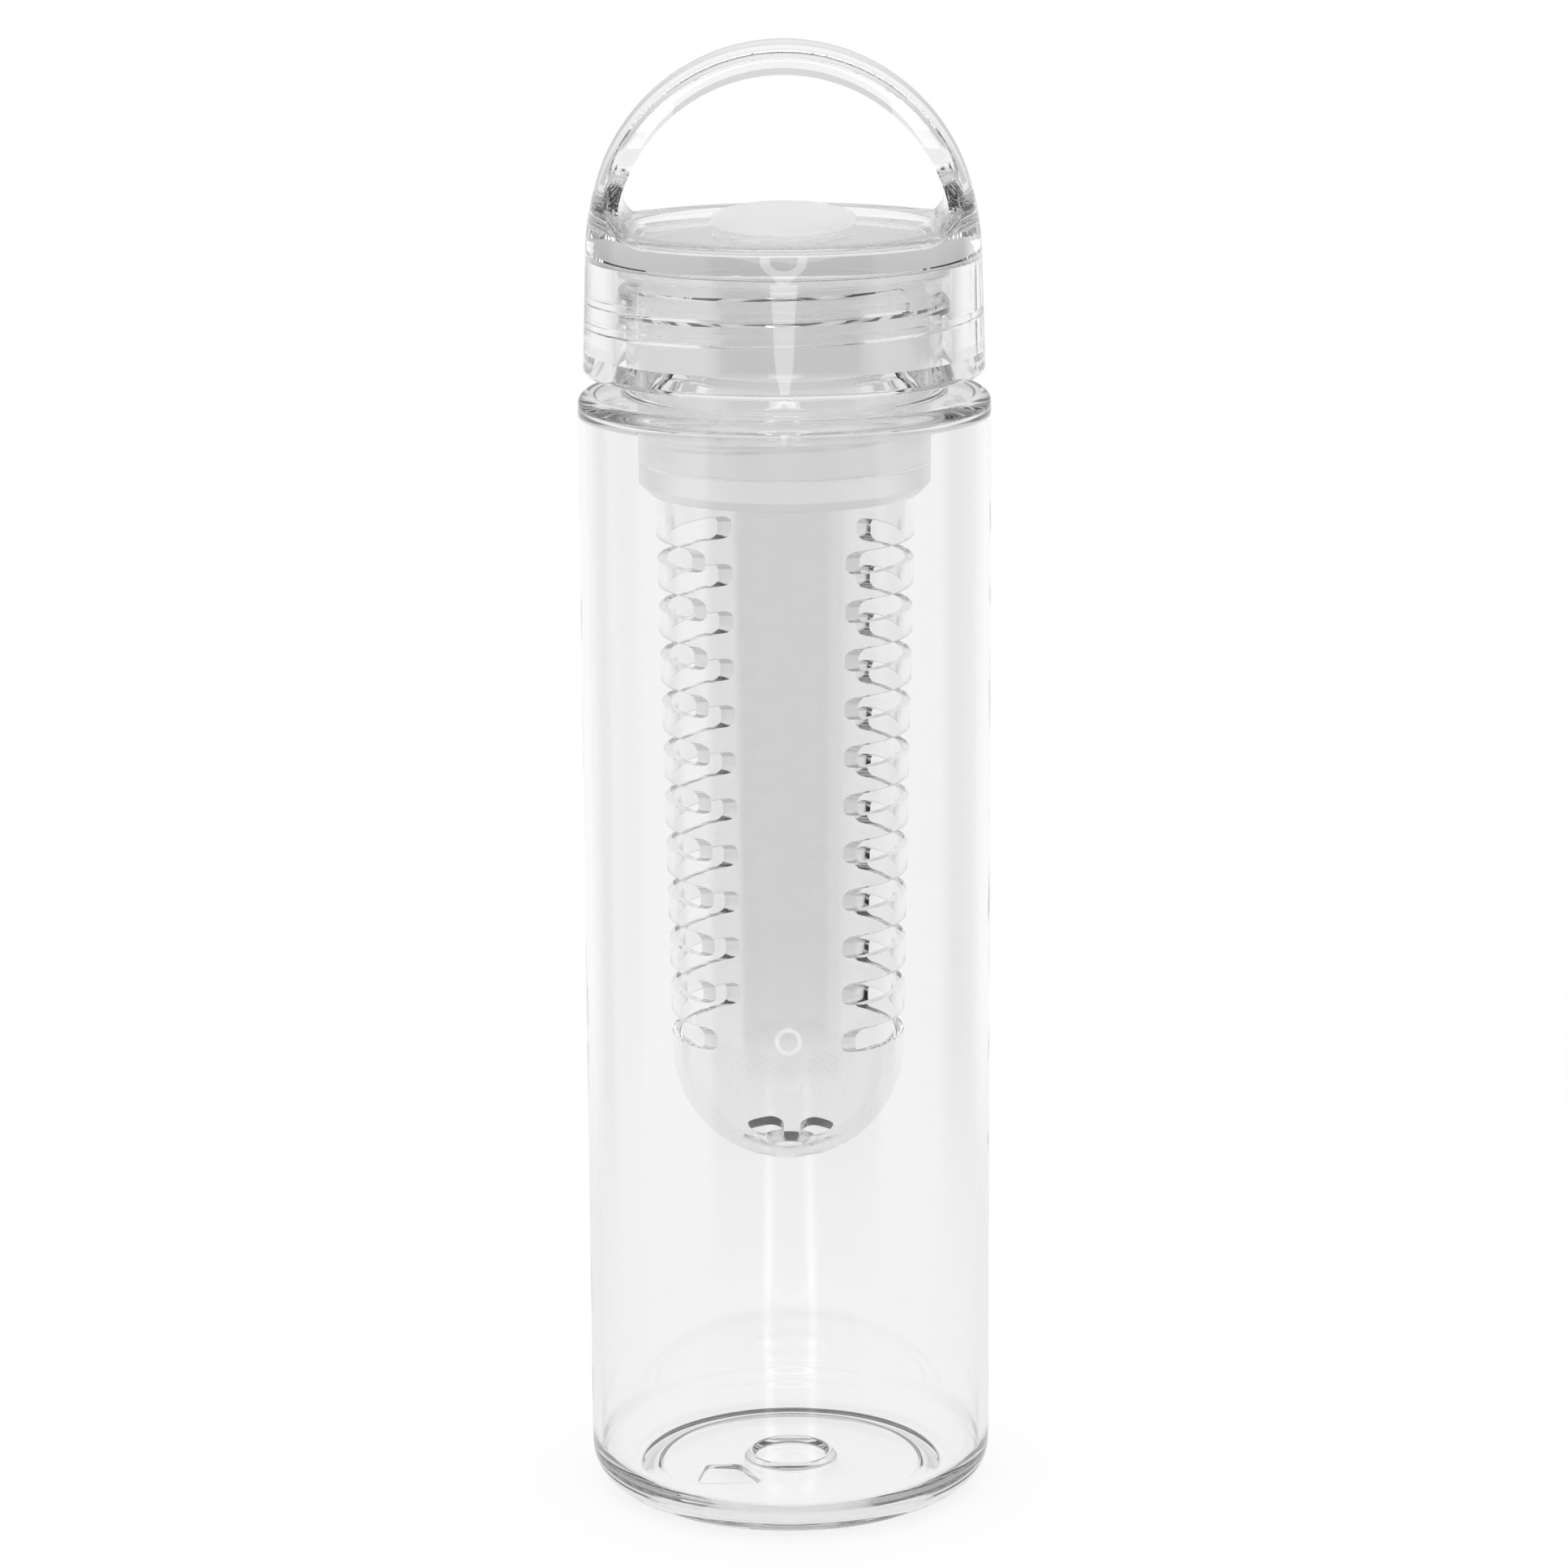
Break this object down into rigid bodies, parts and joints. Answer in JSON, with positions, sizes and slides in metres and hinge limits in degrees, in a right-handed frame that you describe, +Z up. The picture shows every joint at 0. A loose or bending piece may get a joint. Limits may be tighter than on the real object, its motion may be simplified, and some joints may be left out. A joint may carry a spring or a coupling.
{
  "type": "fruit_infuser_bottle",
  "caption": "Clear fruit infuser water bottle with a screw lid, a carry arch over the lid and a slotted infuser basket that screws into a frosted collar",
  "frame": {"origin": "centre of the foot on the surface that the bottle stands on, with the lid screwed down", "axes": "+Z up along the bottle, X in the plane of the carry arch, -Y towards the front, to which the disc on the lid leans; apart from that disc the arch is alike both ways"},
  "size_m": [0.072, 0.072, 0.26],
  "materials": {
    "clear_bottle": "clear water-white copolyester, blown, polished wall that is seen right through",
    "clear_lid": "clear water-white copolyester, injection moulded, thick polished walls",
    "clear_basket": "clear water-white copolyester, injection moulded, thin polished wall",
    "frosted_plastic": "frosted translucent moulded plastic with a fine even bloom",
    "clear_silicone": "clear moulded silicone, slightly cloudy and smooth",
    "frosted_silicone": "frosted translucent moulded silicone"
  },
  "bodies": {
    "bottle": {"bottle_body": "clear_bottle"},
    "seal": {"lid_seal": "clear_silicone"},
    "lid": {"lid": "clear_lid", "infuser_collar": "frosted_plastic", "top_disc": "frosted_plastic", "disc_base": "frosted_plastic"},
    "ring": {"basket_ring": "frosted_silicone"},
    "basket": {"infuser_basket": "clear_basket"}
  },
  "joints": [
    {"name": "lid_rise", "type": "slide", "parent": "bottle", "child": "seal", "axis": [0, 0, 1], "range_m": [0, 0.00697]},
    {"name": "lid_turn", "type": "hinge", "parent": "seal", "child": "lid", "pos_m": [0, 0, 0.22], "axis": [0, 0, 1], "range_deg": [0, 576]},
    {"name": "basket_drop", "type": "slide", "parent": "lid", "child": "ring", "axis": [0, 0, -1], "range_m": [0, 0.00467]},
    {"name": "basket_turn", "type": "hinge", "parent": "ring", "child": "basket", "pos_m": [0, 0, 0.19], "axis": [0, 0, -1], "range_deg": [0, 270]}
  ],
  "couplings": [
    {"joint": "lid_rise", "follows": "lid_turn", "m_per_rad": 0.00069232},
    {"joint": "basket_drop", "follows": "basket_turn", "m_per_rad": 0.00098676}
  ]
}
